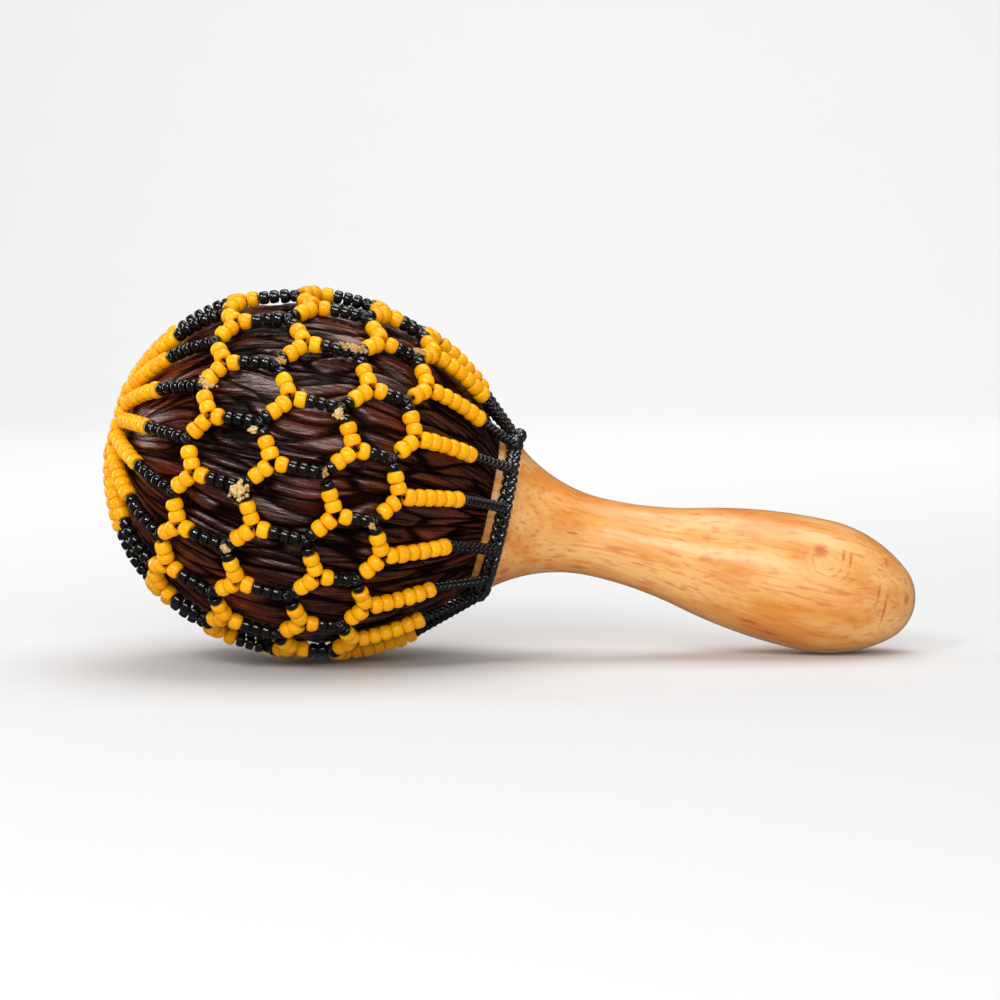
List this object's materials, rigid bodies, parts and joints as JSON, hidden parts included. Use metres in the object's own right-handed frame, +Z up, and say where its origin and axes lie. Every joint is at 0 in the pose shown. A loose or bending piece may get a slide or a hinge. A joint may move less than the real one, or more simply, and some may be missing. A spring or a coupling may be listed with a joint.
{
  "type": "maracas",
  "caption": "Hand shaker: hollow carved dark shell on a turned wooden handle, with a loose net of yellow and black glass beads tied at the neck.",
  "frame": {"origin": "middle of the underside of the instrument's box, on the surface it lies on", "axes": "+X from the shell's end towards the handle's tip, along the table; +Z up; the instrument's own axis dips 13 degrees towards the handle, in the XZ plane"},
  "size_m": [0.2074, 0.094, 0.0951],
  "materials": {
    "carved_shell": "lacquered, carved lengthwise grooves",
    "varnished_wood": "clear gloss varnish",
    "yellow_beads": "opaque glossy glass",
    "black_beads": "opaque glossy glass",
    "thread": "waxed thread",
    "black_cord": "waxed knotted cord",
    "dried_glue": "dried glue, crumbly",
    "seeds": "dry seeds"
  },
  "bodies": {
    "root": {"shell": "carved_shell", "handle": "varnished_wood"},
    "net": {"black_band_1": "black_beads", "black_band_2": "black_beads", "black_band_3": "black_beads", "black_band_4": "black_beads", "collar_cord": "black_cord", "collar_knot_lower": "black_cord", "collar_knot_upper": "black_cord", "glued_knots": "dried_glue", "junction_knots": "black_cord", "neck_cords": "black_cord", "neck_strand_beads": "yellow_beads", "pole_ring_beads": "yellow_beads", "pole_ring_thread": "thread", "pole_strand_beads": "yellow_beads", "pole_strand_threads": "thread", "row_threads_1": "thread", "row_threads_2": "thread", "row_threads_3": "thread", "row_threads_4": "thread", "yellow_row_1": "yellow_beads", "yellow_row_2": "yellow_beads", "yellow_row_3": "yellow_beads", "yellow_row_4": "yellow_beads"},
    "seeds": {"seeds": "seeds"}
  },
  "joints": [
    {"name": "net_twist", "type": "hinge", "parent": "root", "child": "net", "pos_m": [-0.05229, 0, 0.04765], "axis": [0.9743, 0, -0.2252], "continuous": true},
    {"name": "seeds_roll", "type": "hinge", "parent": "root", "child": "seeds", "pos_m": [-0.05229, 0, 0.04765], "axis": [0.9743, 0, -0.2252], "continuous": true}
  ]
}
